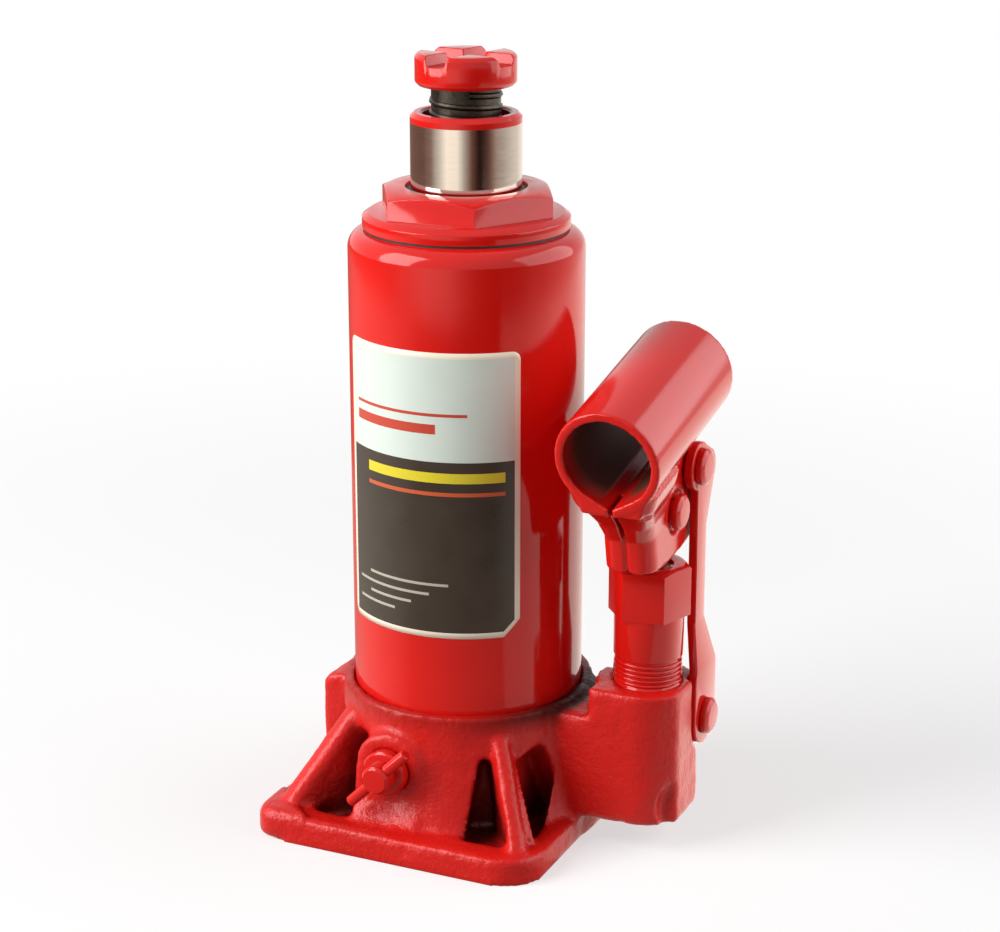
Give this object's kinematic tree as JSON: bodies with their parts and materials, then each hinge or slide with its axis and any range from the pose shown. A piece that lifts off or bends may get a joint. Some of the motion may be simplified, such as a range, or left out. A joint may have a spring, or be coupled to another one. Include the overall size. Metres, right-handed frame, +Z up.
{
  "type": "bottle jack",
  "caption": "Hydraulic bottle jack: square ribbed cast base, upright reservoir with hex top nut, ram with extension screw and saddle, side pump with linked handle socket, release valve.",
  "frame": {"origin": "where the ram axis meets the floor, in the plane of the foot's underside", "axes": "+Z up along the ram, +X from the ram to the pump, -Y to the front, where the release valve and the mouth of the handle socket face"},
  "size_m": [0.1069, 0.09, 0.2006],
  "materials": {
    "red_cast_paint": "gloss red enamel over rough sand-cast iron",
    "red_tube_paint": "gloss red enamel over smooth steel",
    "ground_steel": "ground and polished",
    "machined_steel": "turned, oiled",
    "dark_screw_steel": "black oxide, oiled",
    "bearing_steel": "polished ball",
    "spring_steel": "drawn wire or stamped, satin",
    "copper": "soft copper washer, dull",
    "black_rubber": "matte nitrile rubber",
    "seal_plastic": "matte polyurethane"
  },
  "bodies": {
    "housing": {"base_casting": "red_cast_paint", "reservoir_tube": "red_tube_paint", "filler_plug": "black_rubber", "pressure_cylinder": "machined_steel", "cylinder_gasket": "copper", "reservoir_seal_bottom": "black_rubber", "reservoir_seal_top": "black_rubber", "top_nut": "red_tube_paint", "gland_seal": "seal_plastic", "wiper_ring": "black_rubber", "pump_body": "red_tube_paint", "pump_washer": "copper", "pump_gland_seal": "seal_plastic", "link_pivot_pin": "red_tube_paint", "overload_ball": "bearing_steel", "overload_spring": "spring_steel", "overload_screw": "spring_steel", "delivery_spring": "spring_steel"},
    "ram": {"ram": "ground_steel", "ram_end_ring": "red_tube_paint", "ram_seal_cup": "seal_plastic", "ram_guide_ring": "seal_plastic", "seal_retainer": "spring_steel"},
    "screw_carrier": {"screw_stop_ring": "spring_steel"},
    "extension": {"extension_screw": "dark_screw_steel", "saddle": "red_tube_paint"},
    "plunger": {"pump_plunger": "ground_steel", "plunger_pin": "red_tube_paint"},
    "handle": {"handle_socket": "red_tube_paint", "socket_link_pin": "red_tube_paint"},
    "links": {"link_right": "red_tube_paint", "link_left": "red_tube_paint"},
    "release_carrier": {"release_ball": "bearing_steel"},
    "release": {"release_valve": "red_tube_paint", "release_tee_bar": "red_tube_paint", "release_valve_seal": "black_rubber"},
    "suction_valve": {"suction_ball": "bearing_steel"},
    "delivery_valve": {"delivery_ball": "bearing_steel"}
  },
  "joints": [
    {"name": "ram_lift", "type": "slide", "parent": "housing", "child": "ram", "axis": [0, 0, 1], "range_m": [-0.017, 0.09]},
    {"name": "screw_travel", "type": "slide", "parent": "ram", "child": "screw_carrier", "axis": [0, 0, 1], "range_m": [-0.006, 0.045]},
    {"name": "screw_turn", "type": "hinge", "parent": "screw_carrier", "child": "extension", "pos_m": [0, 0, 0.19], "axis": [0, 0, 1], "range_deg": [-720, 5400]},
    {"name": "plunger_stroke", "type": "slide", "parent": "housing", "child": "plunger", "axis": [0, 0, 1], "range_m": [-0.0012, 0.0071]},
    {"name": "handle_pump", "type": "hinge", "parent": "plunger", "child": "handle", "pos_m": [0.051, 0, 0.0895], "axis": [-1, 0, 0], "range_deg": [-6, 36]},
    {"name": "link_rock", "type": "hinge", "parent": "housing", "child": "links", "pos_m": [0.051, 0.012, 0.0305], "axis": [-1, 0, 0], "range_deg": [-0.7, 3.7]},
    {"name": "release_travel", "type": "slide", "parent": "housing", "child": "release_carrier", "axis": [0, -1, 0], "range_m": [0, 0.0025]},
    {"name": "release_turn", "type": "hinge", "parent": "release_carrier", "child": "release", "pos_m": [-0.0065, -0.038, 0.0212], "axis": [0, -1, 0], "range_deg": [0, 720]},
    {"name": "suction_lift", "type": "slide", "parent": "housing", "child": "suction_valve", "axis": [0, 0, 1], "range_m": [0, 0.0008]},
    {"name": "delivery_lift", "type": "slide", "parent": "housing", "child": "delivery_valve", "axis": [-1, 0, 0], "range_m": [0, 0.0008]}
  ],
  "couplings": [
    {"joint": "screw_travel", "follows": "screw_turn", "m_per_rad": 0.00047746},
    {"joint": "plunger_stroke", "follows": "handle_pump", "m_per_rad": 0.01125},
    {"joint": "link_rock", "follows": "handle_pump", "ratio": 0.1},
    {"joint": "release_travel", "follows": "release_turn", "m_per_rad": 0.00019894}
  ]
}
